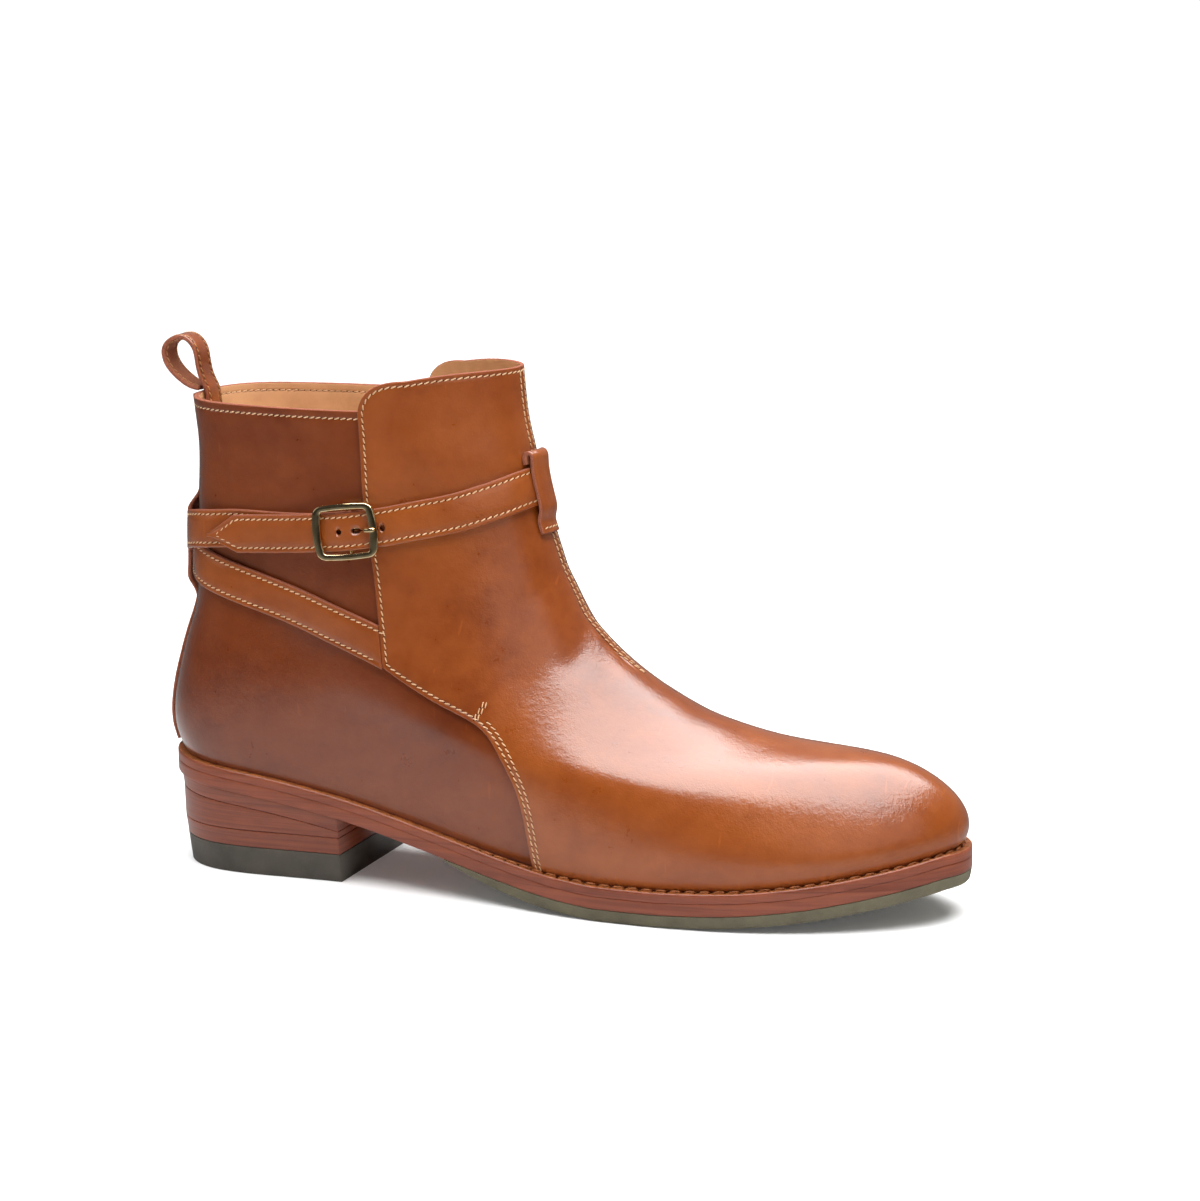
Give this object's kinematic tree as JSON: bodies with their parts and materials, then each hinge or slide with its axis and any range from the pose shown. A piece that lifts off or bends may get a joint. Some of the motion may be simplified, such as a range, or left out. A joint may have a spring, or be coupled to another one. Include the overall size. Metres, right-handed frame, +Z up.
{
  "type": "jodhpur boot",
  "caption": "Tan leather jodhpur ankle boot with wrap strap, buckle, pull loop and stacked heel, standing empty.",
  "frame": {"origin": "on the floor, at the middle of the heel top piece's flat bottom face", "axes": "+X towards the toe, +Y towards the inner (medial) side, +Z up"},
  "size_m": [0.3082, 0.0925, 0.197],
  "materials": {
    "tan_leather": "polished",
    "sole_leather": "waxed edge",
    "lining_leather": "natural",
    "olive_rubber": "matt",
    "dark_rubber": "matt",
    "brass": "polished"
  },
  "bodies": {
    "root": {"upper": "tan_leather", "vamp": "tan_leather", "back_stay": "tan_leather", "pull_loop": "tan_leather", "long_strap": "tan_leather", "buckle_strap": "tan_leather", "keeper": "tan_leather", "buckle_frame": "brass", "buckle_prong": "brass", "welt": "sole_leather", "insole": "lining_leather", "outsole": "sole_leather", "half_sole": "olive_rubber", "top_lift": "sole_leather", "heel_wedge": "sole_leather", "bottom_lift": "sole_leather", "top_piece": "dark_rubber"}
  },
  "joints": []
}
